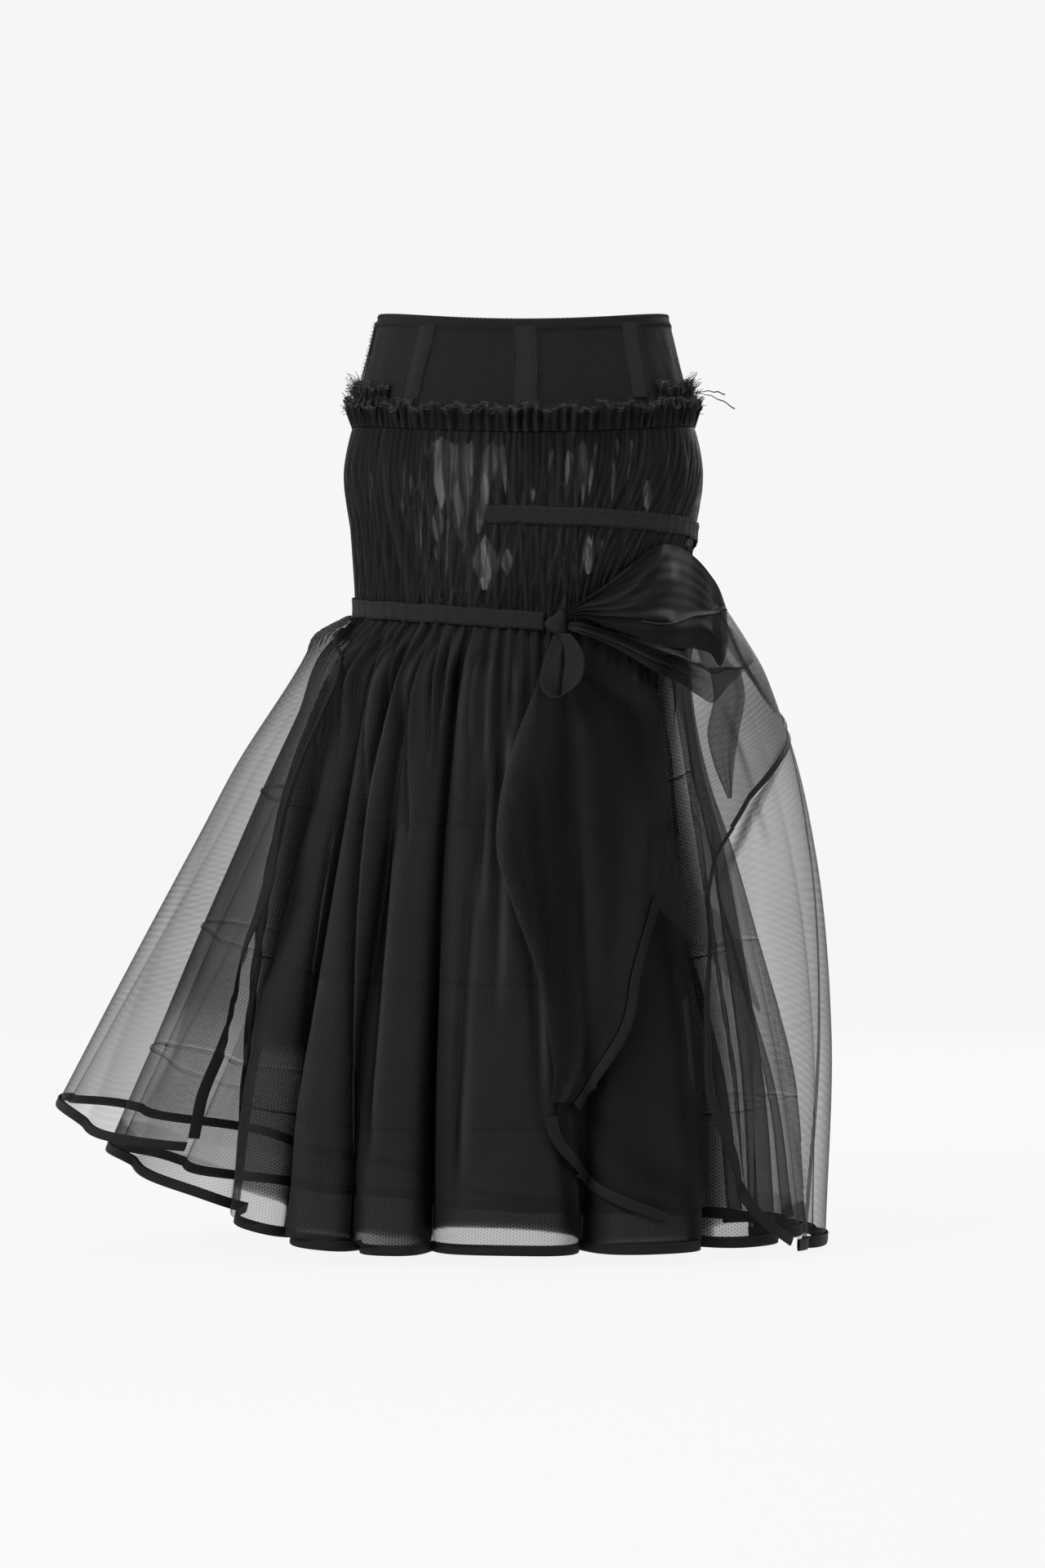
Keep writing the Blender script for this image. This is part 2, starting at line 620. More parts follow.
def under(lines, drop, out=0.0, flute_share=1.0):
    return skirt_point(UNDERSKIRT, UNDERSKIRT_HEM, lines, drop, flute_share, out)


def over(lines, drop, out=0.0):
    share = np.interp(lines, FLAP_FADES, (FLAP_FLUTE_SHARE, OVERSKIRT_FLUTE_SHARE))
    return skirt_point(OVERSKIRT, OVERSKIRT_HEM, lines, drop, share, out, OVERSKIRT_ABOVE_SEAM)


def beside(point, lines, drops, side, distance):
    """Points at a distance outside an edge: the edge's own points, moved square to it over the surface."""
    step = 0.01
    per_line = np.linalg.norm(point(lines + step, drops) - point(lines, drops), axis=-1) / step
    per_drop = np.linalg.norm(point(lines, drops + step) - point(lines, drops), axis=-1) / step
    across, down = np.gradient(lines) * per_line, np.gradient(drops) * per_drop
    length = np.hypot(across, down)
    moved_line = side * down / length * distance / per_line
    moved_drop = -side * across / length * distance / per_drop
    return point(lines + moved_line, drops + moved_drop)


def panel_point(x, drop, flute_share, out):
    """A point of a panel that hangs on the underskirt's front."""
    return under(line_at(UNDERSKIRT, x, drop), drop, out, flute_share)


# ---------------------------------------------------------------- cloth, threads and materials
def uneven(turn, waves, seed):
    """A wave round the body whose height and spacing change from fold to fold, from -1 to 1."""
    rad = np.radians(turn)
    drift = 1.3 * np.sin(3 * rad + seed) + 0.9 * np.sin(7 * rad + 2 * seed)
    drift = drift + 0.6 * np.sin(13 * rad + 3 * seed)
    height = 0.68 + 0.32 * np.sin(5 * rad + 4 * seed) * np.cos(11 * rad + seed)
    return height * np.sin(waves * rad + drift)


def smooth(low, high, value):
    """0 below low, 1 above high, and a smooth step between them."""
    share = np.clip((np.asarray(value) - low) / (high - low), 0, 1)
    return share * share * (3 - 2 * share)


def outwards(points):
    """Level unit vectors that point away from the body's axis."""
    flat = points * (1, 1, 0)
    return flat / np.linalg.norm(flat, axis=-1, keepdims=True)


def lengths(rows):
    """For each point of a grid, how far it lies along its row and down its column, as flat cloth."""
    along = np.linalg.norm(np.diff(rows, axis=1), axis=2).mean(axis=0)
    down = np.linalg.norm(np.diff(rows, axis=0), axis=2).mean(axis=1)
    return np.concatenate([[0], np.cumsum(along)]), np.concatenate([[0], np.cumsum(down)])


def placed(name, points, faces, material):
    """A new mesh object, smoothly shaded."""
    mesh = bpy.data.meshes.new(name)
    mesh.from_pydata(points, [], faces)
    mesh.materials.append(material)
    mesh.update()
    mesh.shade_smooth()
    obj = bpy.data.objects.new(name, mesh)
    bpy.context.scene.collection.objects.link(obj)
    return obj


def cloth(name, rows, material, closed=False, depth=1.0, wall=0.0, ridge=0.5):
    """A sheet through a grid of points. Its map is in metres. Each point keeps its optical depth, and how
    far it stands on a ridge: worn and dusted paler there, and darker in the creases."""
    rows = np.asarray(rows, float)
    height, width = rows.shape[:2]
    across = width if closed else width - 1
    r, c = np.meshgrid(np.arange(height - 1), np.arange(across), indexing="ij")
    d = (c + 1) % width
    corners = [(r, c), (r + 1, c), (r + 1, d), (r, d)]
    faces = np.stack([a * width + b for a, b in corners], axis=-1).reshape(-1, 4)
    obj = placed(name, rows.reshape(-1, 3).tolist(), faces.tolist(), material)
    joined = np.concatenate([rows, rows[:, :1]], axis=1) if closed else rows
    along, down = lengths(joined)
    places = [(r, c), (r + 1, c), (r + 1, c + 1), (r, c + 1)]
    flat = np.stack([np.stack([along[b], down[a]], axis=-1) for a, b in places], axis=2)
    layer = obj.data.uv_layers.new(name="cloth")
    layer.data.foreach_set("uv", flat.reshape(-1).astype(np.float32))
    for kept, value in (("depth", depth), ("ridge", ridge)):
        everywhere = (np.zeros((height, width)) + value).reshape(-1)
        held = obj.data.attributes.new(kept, "FLOAT", "POINT")
        held.data.foreach_set("value", everywhere.astype(np.float32))
    if wall:
        solid = obj.modifiers.new("wall", "SOLIDIFY")
        solid.thickness = wall
        solid.offset = 0.0
        solid.use_even_offset = False
    return obj


def threads(name, paths):
    """Thin round threads, one along each path, in one piece of the table of thread work."""
    radius, sides, slot, yarn = row_of(THREAD_WORK, name)
    points, faces = [], []
    for path in paths:
        path = np.asarray(path, float)
        tangent = np.gradient(path, axis=0)
        tangent = tangent / np.maximum(np.linalg.norm(tangent, axis=1, keepdims=True), 1e-9)
        upright = np.where(np.abs(tangent[:, 2:]) > 0.9, (1.0, 0.0, 0.0), (0.0, 0.0, 1.0))
        first = np.cross(tangent, upright)
        first = first / np.maximum(np.linalg.norm(first, axis=1, keepdims=True), 1e-9)
        second = np.cross(tangent, first)
        start = len(points)
        for p, a, b in zip(path, first, second):
            for k in range(sides):
                turn = 2 * math.pi * k / sides
                points.append(p + radius * (math.cos(turn) * a + math.sin(turn) * b))
        for i in range(len(path) - 1):
            for k in range(sides):
                n = (k + 1) % sides
                ring, following = start + i * sides, start + (i + 1) * sides
                faces.append((ring + k, ring + n, following + n, following + k))
        faces.append(tuple(start + k for k in range(sides))[::-1])
        faces.append(tuple(start + (len(path) - 1) * sides + k for k in range(sides)))
    obj = placed(name, [tuple(p) for p in points], faces, CURL if yarn == "curl" else THREAD)
    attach(obj, "root")


def run_along(path):
    """How far each point of a path lies along it."""
    return np.concatenate([[0], np.cumsum(np.linalg.norm(np.diff(path, axis=0), axis=1))])


def points_at(at, run, path):
    """The points of a path at some distances along it."""
    return np.stack([np.interp(at, run, path[:, k]) for k in range(3)], axis=1)


def dashes(path, stitch, gap):
    """A path cut into stitches: short pieces of it with gaps between them."""
    path = np.asarray(path, float)
    run = run_along(path)
    starts = np.arange(0, run[-1] - stitch, stitch + gap)
    return [points_at(np.linspace(start, start + stitch, 3), run, path) for start in starts]


class Nodes:
    """A small helper that adds shader nodes and links them."""

    def __init__(self, name):
        self.material = bpy.data.materials.new(name)
        self.material.use_nodes = True
        self.tree = self.material.node_tree
        self.tree.nodes.clear()

    def add(self, kind, settings=(), **inputs):
        node = self.tree.nodes.new(kind)
        for key, value in settings:
            setattr(node, key, value)
        for key, value in inputs.items():
            socket = node.inputs[int(key[1:])] if key[0] == "_" else node.inputs[key.replace("_", " ")]
            if isinstance(value, bpy.types.NodeSocket):
                self.tree.links.new(value, socket)
            else:
                socket.default_value = value
        return node

    def math(self, operation, *values):
        named = {f"_{i}": value for i, value in enumerate(values)}
        return self.add("ShaderNodeMath", (("operation", operation),), **named).outputs[0]

    def finish(self, shader):
        self.add("ShaderNodeOutputMaterial", Surface=shader)
        return self.material


def weave_waves(nodes, pitch, directions):
    """The flat cloth's map, its two parts, and a weave: a sum of cosines with this pitch in metres."""
    flat = nodes.add("ShaderNodeUVMap", (("uv_map", "cloth"),)).outputs[0]
    parts = nodes.add("ShaderNodeSeparateXYZ", _0=flat)
    total = None
    for degrees in directions:
        a, b = math.cos(math.radians(degrees)), math.sin(math.radians(degrees))
        along = nodes.math("MULTIPLY", parts.outputs[0], 2 * math.pi * a / pitch)
        turned = nodes.math("MULTIPLY_ADD", parts.outputs[1], 2 * math.pi * b / pitch, along)
        wave = nodes.math("COSINE", turned)
        total = wave if total is None else nodes.math("ADD", total, wave)
    return flat, parts.outputs, total


def shaded(nodes, share, colour, darkest, palest):
    """The cloth's colour, from darkest to palest times itself."""
    dark, pale = ([*(part * level for part in colour), 1] for level in (darkest, palest))
    settings = (("blend_type", "MIX"),)
    return nodes.add("ShaderNodeMixRGB", settings, Fac=share, Color1=dark, Color2=pale).outputs[0]


def noise_on(nodes, flat, scale, detail, **more):
    return nodes.add("ShaderNodeTexNoise", Vector=flat, Scale=scale, Detail=detail, **more).outputs["Fac"]


def sheer(name, colour, rough, sheen, pitch, directions, weave_share, moire_share):
    """See-through cloth. Light passes by the depth of the layers, less at a slant, and by the weave."""
    nodes = Nodes(name)
    flat, parts, weave = weave_waves(nodes, pitch, directions)
    noise = noise_on(nodes, flat, 14.0, 3.0, Roughness=0.6)
    # Moire: fine lines across the flat cloth, bent by a slow swirl and stronger in some places.
    swirl = nodes.math("MULTIPLY", noise_on(nodes, flat, 5.0, 0.0), 60.0)
    across = nodes.math("MULTIPLY_ADD", parts[0], 210.0, swirl)
    lines = nodes.math("SINE", nodes.math("MULTIPLY_ADD", parts[1], 880.0, across))
    strong = nodes.math("SUBTRACT", noise_on(nodes, flat, 7.0, 1.0), 0.25)
    woven = nodes.math("MULTIPLY_ADD", weave, weave_share, 1.0)
    blurred = nodes.math("MULTIPLY_ADD", nodes.math("MULTIPLY", lines, strong), moire_share, 1.0)
    patchy = nodes.math("MULTIPLY_ADD", noise, 0.30, 0.85)
    share = nodes.math("MULTIPLY", nodes.math("MULTIPLY", woven, blurred), patchy)
    # The light that passes falls off with the depth kept at each point, and with the slant of the view.
    held = nodes.add("ShaderNodeAttribute", (("attribute_name", "depth"),)).outputs["Fac"]
    facing = nodes.add("ShaderNodeLayerWeight", Blend=0.5).outputs["Facing"]
    square = nodes.math("POWER", nodes.math("MAXIMUM", nodes.math("SUBTRACT", 1.0, facing), 0.10), 0.62)
    thick = nodes.math("DIVIDE", nodes.math("MULTIPLY", held, share), square)
    passed = nodes.math("POWER", math.e, nodes.math("MULTIPLY", thick, -1.0))
    bump = nodes.add("ShaderNodeBump", Strength=0.25, Distance=0.0004, Height=weave)
    ridge = nodes.add("ShaderNodeAttribute", (("attribute_name", "ridge"),)).outputs["Fac"]
    worn = nodes.math("MULTIPLY_ADD", noise, 0.24, nodes.math("SUBTRACT", ridge, 0.12))
    worn = nodes.math("POWER", nodes.math("MAXIMUM", worn, 0.0), 1.7)
    body = nodes.add(
        "ShaderNodeBsdfPrincipled", Base_Color=shaded(nodes, worn, colour, darkest=0.15, palest=5.5),
        Normal=bump.outputs[0], Roughness=rough, Specular_IOR_Level=0.05,
        Sheen_Weight=sheen, Sheen_Roughness=0.45, Sheen_Tint=(0.30, 0.30, 0.33, 1),
    )
    clear = nodes.add("ShaderNodeBsdfTransparent")
    mixed = nodes.add("ShaderNodeMixShader", _0=passed, _1=body.outputs[0], _2=clear.outputs[0])
    return nodes.finish(mixed.outputs[0])


def solid_cloth(name, colour, rough, sheen, pitch, directions, relief):
    """Close cloth that no light passes: fine weave relief, and a colour that changes a little."""
    nodes = Nodes(name)
    flat, _, weave = weave_waves(nodes, pitch, directions)
    noise = noise_on(nodes, flat, 60.0, 4.0, Roughness=0.65)
    height = nodes.math("MULTIPLY_ADD", noise_on(nodes, flat, 840.0, 2.0), 1.6, weave)
    bump = nodes.add("ShaderNodeBump", Strength=relief, Distance=0.0005, Height=height)
    share = nodes.math("MULTIPLY_ADD", weave, 0.10, noise)
    body = nodes.add(
        "ShaderNodeBsdfPrincipled", Base_Color=shaded(nodes, share, colour, darkest=0.65, palest=1.45),
        Normal=bump.outputs[0], Roughness=nodes.math("MULTIPLY_ADD", noise, 0.2, rough - 0.1),
        Specular_IOR_Level=0.14,
        Sheen_Weight=sheen, Sheen_Roughness=0.5, Sheen_Tint=(0.35, 0.35, 0.38, 1),
    )
    return nodes.finish(body.outputs[0])


CANVAS, RIBBON, BINDING, THREAD, CURL = (solid_cloth(*row) for row in CLOSE_CLOTHS[1:])
ORGANZA, NET, HIP_CLOTH, FRAYED = (sheer(*row) for row in SHEER_CLOTHS[1:])


def wear(obj, nodes):
    """Says what a piece is: it rides on the garment, stands for its solids and is cut to a flat size."""
    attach(obj, "root")
    if nodes:
        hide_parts(*nodes)
    return obj


def sewn(obj, nodes):
    """A sheet of cloth, cut to its size in the table of cuts."""
    return wear(obj, nodes)


# ---------------------------------------------------------------- yoke
def build_yoke():
    angles = np.linspace(-180, 180, 361)[:-1]
    rows = []
    for share in np.linspace(0, 1, 26):
        z = -front_dip(angles) - share * YOKE_HEIGHT
        pull = 0.0006 * uneven(angles + 6 * share, 23, 1.0) * math.sin(math.pi * share)
        pull = pull + 0.0004 * uneven(angles - 15 * share, 41, 2.0) * share
        rows.append(body_point(angles, z, 0.0008 + pull))
    yoke = cloth("yoke_cloth", rows, CANVAS, closed=True, wall=0.0013)
    sewn(yoke, ("yoke_front", "yoke_back"))

    # Serged top edge: a thin roll over the edge, wound with slanting thread, and a zigzag row under it.
    turns = np.linspace(-180, 180, 1081)
    edge = body_point(turns, -front_dip(turns), 0.0008)
    wound = 2 * math.pi * np.arange(len(turns)) / 5
    loops = edge + outwards(edge) * (0.0011 * np.cos(wound))[:, None]
    loops[:, 2] += -0.0012 + 0.0016 * np.sin(wound)
    threads("yoke_serging", [loops, edge])
    turns = np.linspace(-180, 180, 561)
    high = np.where(np.arange(len(turns)) % 2 == 0, 0.0, 0.0032)
    threads("yoke_zigzag", [body_point(turns, -front_dip(turns) - 0.0072 - high, 0.0018)])


def build_strips():
    """Bone channels: a frayed strip that swells over its bone, with stitching near its edges."""
    stitch_paths, fray = [], []
    random = np.random.default_rng(5)
    for name, top_angle, bottom_angle, half, top, bottom in YOKE_STRIPS[1:]:
        shares = np.linspace(0, 1, 60)
        across = np.linspace(-1, 1, 17)
        ragged = 0.05 * np.cumsum(random.normal(size=(2, 60)), axis=1)
        ragged = ragged - np.linspace(0, 1, 60) * ragged[:, -1:]
        rows = []
        for i, share in enumerate(shares):
            middle = top_angle + (bottom_angle - top_angle) * share
            left = -half * (1 + 0.5 * ragged[0, i])
            right = half * (1 + 0.5 * ragged[1, i])
            angles = middle + np.interp(across, (-1, 0, 1), (left, 0, right))
            swell = 0.0016 * np.exp(-((across / 0.55) ** 4)) if name != "side_placket" else 0.0004
            z = -front_dip(middle) - top - (bottom - top) * share
            rows.append(body_point(angles, z + 0 * angles, 0.0019 + swell))
        rows = np.array(rows)
        strip = cloth(name + "_strip", rows, RIBBON, wall=0.0006)
        sewn(strip, (name,))
        for place in (3, 13):
            line = rows[:, place] + outwards(rows[:, place]) * 0.0005
            stitch_paths += dashes(line, stitch=0.0024, gap=0.0008)
        for edge, way in ((0, -1), (-1, 1)):
            for start in rows[:, edge]:
                for _ in range(2):
                    lift = random.uniform(0.0008, 0.0030)
                    lean = random.uniform(-0.0016, 0.0016)
                    tip = start + (way * lift, -0.0008, lean)
                    fray.append(np.linspace(start, tip, 3))
    threads("strip_stitching", stitch_paths)
    threads("strip_fraying", fray)


def build_ruffles():
    """Frayed ruffles that stand up from the yoke's lower seam, with curled threads along their tops."""
    random = np.random.default_rng(11)
    for name, start, end, top, seam, top_out, seam_out, waves, height, count in RUFFLES[1:]:
        closed = end - start == 360
        angles = np.linspace(start, end, count + 1)
        angles = angles[:-1] if closed else angles
        turns = (angles - start) / (end - start)
        phase = 2 * math.pi * waves * turns + 1.6 * np.sin(2 * math.pi * 7 * turns)
        phase = phase + 0.9 * np.sin(2 * math.pi * 23 * turns)
        swing = 0.75 + 0.25 * np.sin(2 * math.pi * 17 * turns + 1.0)
        wave = swing * np.sin(phase)
        curl = swing * 1.25 * np.sin(2 * phase)
        fine = uneven(angles, 117, 3.0)
        rows, depth = [], []
        for share in np.linspace(0, 1, 11):
            rise = 1 - share
            below = seam + (top - seam) * rise - 0.0040 * rise * uneven(angles, 31, 1.5)
            below = below - 0.0022 * rise * uneven(angles, 71, 0.5)
            out = seam_out + (top_out - seam_out) * rise + (height * wave + 0.0016 * fine) * rise**0.8
            below = below - 0.0012 * rise**2 * np.cos(phase)
            rows.append(body_point(angles + curl * rise**1.5, -front_dip(angles) - below, out))
            depth.append(1.1 + 1.7 * share + 0.35 * fine)
        pleat = np.clip(0.26 + 0.22 * fine + 0.16 * wave, 0, 1) + 0.5 * np.linspace(1, 0, 11)[:, None] ** 8
        pleat = np.clip(pleat, 0, 1)
        obj = cloth(name + "_cloth", rows, FRAYED, closed=closed, depth=np.array(depth), ridge=pleat)
        sewn(obj, (name,))
        edge = np.array(rows[0])
        lift = edge - np.array(rows[2])
        lift = lift / np.linalg.norm(lift, axis=1, keepdims=True)
        threads(name + "_curls", curled_edge(edge, lift, random))
        hairs = []
        for root, way in zip(edge, lift):
            for _ in range(2):
                tip = root + way * random.uniform(0.0005, 0.0042) + random.uniform(-0.0022, 0.0022, 3)
                hairs.append([root, (root + tip) / 2 + random.uniform(-0.0008, 0.0008, 3), tip])
        threads(name + "_hairs", hairs)
    build_loose_threads(random)


def curled_edge(edge, lift, random):
    """Yarns that run along a frayed edge in loops of uneven size."""
    yarns = []
    run = run_along(edge)
    for strand in range(3):
        at = np.linspace(0, run[-1], int(run[-1] / 0.0010))
        pace = np.cumsum(0.6 + 0.8 * random.random(len(at) // 12 + 2))
        phase = np.interp(np.arange(len(at)), 12 * np.arange(len(pace)), pace) * 2.3 + strand
        sizes = random.uniform(0.0008, 0.0030, len(at) // 25 + 2)
        size = np.interp(np.arange(len(at)), 25 * np.arange(len(sizes)), sizes)
        along = np.clip(at + size * 1.15 * np.sin(phase), 0, run[-1])
        middle = points_at(along, run, edge)
        rise = points_at(along, run, lift)
        out = outwards(middle) * (0.0009 * np.cos(phase * 0.7 + strand))[:, None]
        height = size * np.cos(phase) - 0.0012 + 0.0007 * strand
        path = middle + rise * height[:, None] + out
        breaks = np.sort(random.integers(0, len(path), 14))
        yarns += [piece for piece in np.split(path, breaks) if len(piece) > 8]
    return yarns


def build_loose_threads(random):
    """Tufts at both sides, and two long threads that stand out on the wearer's left."""
    paths = []
    for side, count in ((-1, 110), (1, 130)):
        for _ in range(count):
            angle = side * random.uniform(74, 106)
            below = random.uniform(0.058, 0.084)
            start = body_point(np.array([angle]), np.array([-below]), 0.004)[0]
            aside = side * random.uniform(0.003, 0.012)
            tip = start + (aside, random.uniform(-0.005, 0.005), random.uniform(-0.004, 0.011))
            bend = (start + tip) / 2 + random.uniform(-0.0015, 0.0015, 3)
            paths.append([start, bend, tip])
    start = np.array([0.1500, -0.012, -0.0680])
    bends = (((0.166, -0.016, -0.0655), (0.1772, -0.020, -0.0705)),
             ((0.168, -0.018, -0.0700), (0.1855, -0.024, -0.0835)))
    for middle, tip in bends:
        share = np.linspace(0, 1, 16)[:, None]
        path = (1 - share) ** 2 * start + 2 * share * (1 - share) * np.array(middle)
        path = path + share**2 * np.array(tip)
        path[:, 2] += 0.0005 * np.sin(19 * share[:, 0])
        paths += [path, path + (0.0, 0.0010, 0.0007) * share, path - (0.0, 0.0010, 0.0005) * share]
    threads("loose_threads", paths)


# ---------------------------------------------------------------- hip
def thinned(points, base, table, kept=0.0):
    """Optical depth after a table's thin places: pointed slits, each with a line, a width and a depth.
    kept is the depth of fine pleats that lie over them."""
    depth = base
    for x_top, z_top, x_bottom, z_bottom, width, least in table[1:]:
        a, b = np.array([x_top, z_top]), np.array([x_bottom, z_bottom])
        flat = points[..., [0, 2]]
        share = np.clip(((flat - a) @ (b - a)) / ((b - a) @ (b - a)), 0, 1)
        away = np.linalg.norm(flat - (a + share[..., None] * (b - a)), axis=-1)
        lens = 0.05 + 1.15 * np.sin(math.pi * share**0.85)
        sliver = 0.12 + 1.1 * (1 - share) ** 0.6 * smooth(-0.02, 0.10, share)
        shape = sliver if z_top > -0.128 else lens
        half = 0.62 * width * shape * (1 + 0.16 * np.sin(150 * points[..., 2] + 90 * x_top))
        mask = 1 - smooth(0.55 * half, 1.15 * half, away)
        mask = mask * (points[..., 1] < 0)
        depth = depth + (least + kept - depth) * mask
    return depth


def fold_lines(angles, share):
    """Three families of leaning folds: the highest of them at each point, by how much, and which it is."""
    sway = 1.6 * np.sin(np.radians(angles * 5) + 5.0 * share) * np.sin(math.pi * share)
    first = uneven(angles + 6.0 * share + sway, 61, 2.0)
    second = uneven(angles - 9.0 * share + 1.4 * np.sin(5 * share + 1) - sway, 47, 0.7)
    third = uneven(angles + 13.0 * share**2 - 0.6 * sway, 83, 4.4)
    folds = np.sort(np.stack([first, second, third]), axis=0)
    on_top = np.argmax(np.stack([first, second, third]), axis=0)
    return folds[2], folds[2] - folds[1], on_top


def build_hip():
    angles = np.linspace(-180, 180, 1441)[:-1]
    top = -front_dip(angles) - YOKE_HEIGHT
    bottom = seam_z(angles) - 0.0030
    fan = smooth(11, 30, angles) * (1 - smooth(70, 95, angles))
    shares = np.linspace(0, 1, 66)
    rows, layers, ridges = [], [], []
    for share in shares:
        puff = math.sin(math.pi * share) ** 0.35
        place = angles + 26 * share**1.5 * fan
        edge = abs(2 * share - 1) ** 3
        fold, lead, on_top = fold_lines(place, share)
        fine = np.abs(np.sin(np.radians(place * 75) + 2.5 * np.sin(np.radians(place * 11))))
        gather = (0.5 + 0.5 * fold) * (1 - 0.7 * edge) + fine**0.6 * (0.14 + 0.6 * edge)
        z = top + (bottom - top) * share
        rows.append(body_point(angles, z, 0.0003 + 0.0036 * puff * gather))
        density = np.array([3.4, 2.5, 1.7])[on_top] + 1.0 * smooth(0.3, 0.9, fold)
        layers.append(density + 0.5 * fine + 1.6 * edge)
        crease = np.exp(-((lead / 0.10) ** 2))
        broad = 0.5 + 0.5 * uneven(angles + 4 * share, 9, 5.0)
        tone = 0.20 + 0.24 * smooth(0.3, 1.0, fold) + 0.58 * crease * broad + 0.18 * (fine - 0.5)
        ridges.append(np.clip(tone - 0.12 * edge, 0, 1))
    down = shares[:, None]
    front = np.abs(angles) < 88
    base = np.array(layers) * np.where(front, 1.0, 0.55) + np.where(front, 1.0, 0.15)
    pleats = uneven(angles + 0.5 * np.sin(9 * down), 143, 1.1)
    kept = 1.5 * smooth(0.35, 0.85, pleats) + 0.5 * smooth(-0.2, 0.6, uneven(angles, 67, 3.7))
    depth = thinned(np.array(rows), base, HIP_SLITS, kept)
    # On the wearer's left side the gathers stand off in a single layer, which the light comes through.
    side = np.exp(-(((angles - 89 - 3 * np.sin(7 * down)) / 5) ** 2))
    side = side * (0.70 + 0.25 * uneven(angles, 143, 2.2))
    side = side * smooth(0.02, 0.30, down) * (1 - smooth(0.45, 0.80, down))
    depth = depth + (0.60 - depth) * side
    hip = cloth("hip_gathers", rows, HIP_CLOTH, closed=True, depth=depth, ridge=np.array(ridges))
    sewn(hip, ("hip_front", "hip_back"))


def build_tape():
    """The spiral tape, sewn down on the gathers, so its edges ripple a little."""
    turns = np.linspace(TAPE[1][0], TAPE_END_TURN, 520)
    rows = []
    for side in np.linspace(0.5, -0.5, 7):
        z = tape_z(turns) + side * TAPE_WIDTH
        ripple = 0.0005 * uneven(turns, 62, 1.7) + 0.0006 * abs(2 * side) ** 3 * uneven(turns, 97, 0.4)
        rows.append(body_point(turns, z + 0.0005 * uneven(turns, 19, 0.9), TAPE_OUT + 0.0007 + ripple))
    rows = np.array(rows)
    tape = cloth("tape_band", rows, RIBBON, wall=0.0009)
    sewn(tape, ("spiral_tape",))
    paths = []
    for place in (1, 5):
        paths += dashes(rows[place] + outwards(rows[place]) * 0.0007, stitch=0.0026, gap=0.0009)
    threads("tape_stitching", paths)


# ---------------------------------------------------------------- skirts
def fine_lines():
    """The fold lines of the closed skirts' columns, evenly spread within each flute."""
    valleys = column(FLUTES, "valley")
    valleys = np.append(valleys, valleys[0] + 360)
    parts = [np.linspace(a, b, COLUMNS_PER_FLUTE, endpoint=False) for a, b in zip(valleys, valleys[1:])]
    return np.concatenate(parts)


def gathered(points, lines, drop, start, seed, height):
    """Adds fine gathers below a seam, which fade downwards, and long soft ripples. The flares are calm."""
    turn = wrapped(lines)
    calm = smooth(42, 50, turn) * (1 - smooth(104, 120, turn))
    calm = calm + smooth(-42, -48, turn) * smooth(-125, -108, turn)
    below = max(drop - start, 0.0)
    crease = np.abs(np.sin(np.radians(lines * 47) + 2.2 * np.sin(np.radians(lines * 7) + seed))) ** 0.7
    fine = height * math.exp(-below / 0.10) * (uneven(lines, 118, seed) + 2.0 * crease)
    soft = 0.0013 * smooth(0.0, 0.25, drop) * uneven(lines + 9 * drop, 37, seed + 1.0)
    out = (fine + soft) * (1 - 0.88 * calm * smooth(0.03, 0.14, drop))
    return points + outwards(points) * out[:, None]


def net_depth(lines, drop, over_net):
    """Optical depth of the underskirt: close in its gathered front, and sheer in its flared sides."""
    turn = wrapped(lines)
    lean = np.interp(drop, (0, 0.25, 0.62, 1), (-7, -6.3, -3.2, 0))
    low = float(smooth(0.66, 0.80, drop))
    right = 0.80 - 0.42 * low
    angles = (-180, -140, -100, -46.5 + lean, -44 + lean, -41 + lean, 40, 46, 52, 62, 75, 110, 135, 180)
    shares = (1.4, 1.1, right, right, 1.6, 4.2, 4.2, 3.2, 1.1, 0.6, 0.42, 0.42, 0.9, 1.4)
    heavy = np.interp(turn, angles, shares)
    lobe = smooth(-45, -43, turn) * (1 - smooth(-37, -35, turn)) * float(smooth(0.69, 0.73, drop))
    heavy = heavy + (2.15 - heavy) * lobe
    turns, starts, layers = columns(HEM_WINDOWS, "angle", "starts", "layers")
    at_hem = np.interp(turn, turns, layers)
    place, _, _ = flute(lines)
    starts = np.interp(turn, turns, starts) + 0.018 * np.abs(place) ** 3
    heavy = heavy + (at_hem - heavy) * smooth(starts, starts + 0.004, drop)
    side = smooth(-45, -41, turn - lean) * (1 - smooth(46, 53, turn))
    covered = over_net + (1 - over_net) * (1 - smooth(starts - 0.010, starts, drop))
    covered = covered * (0.12 + 0.88 * side)
    return (NET_LAYER + ORGANZA_LAYER * covered) * heavy


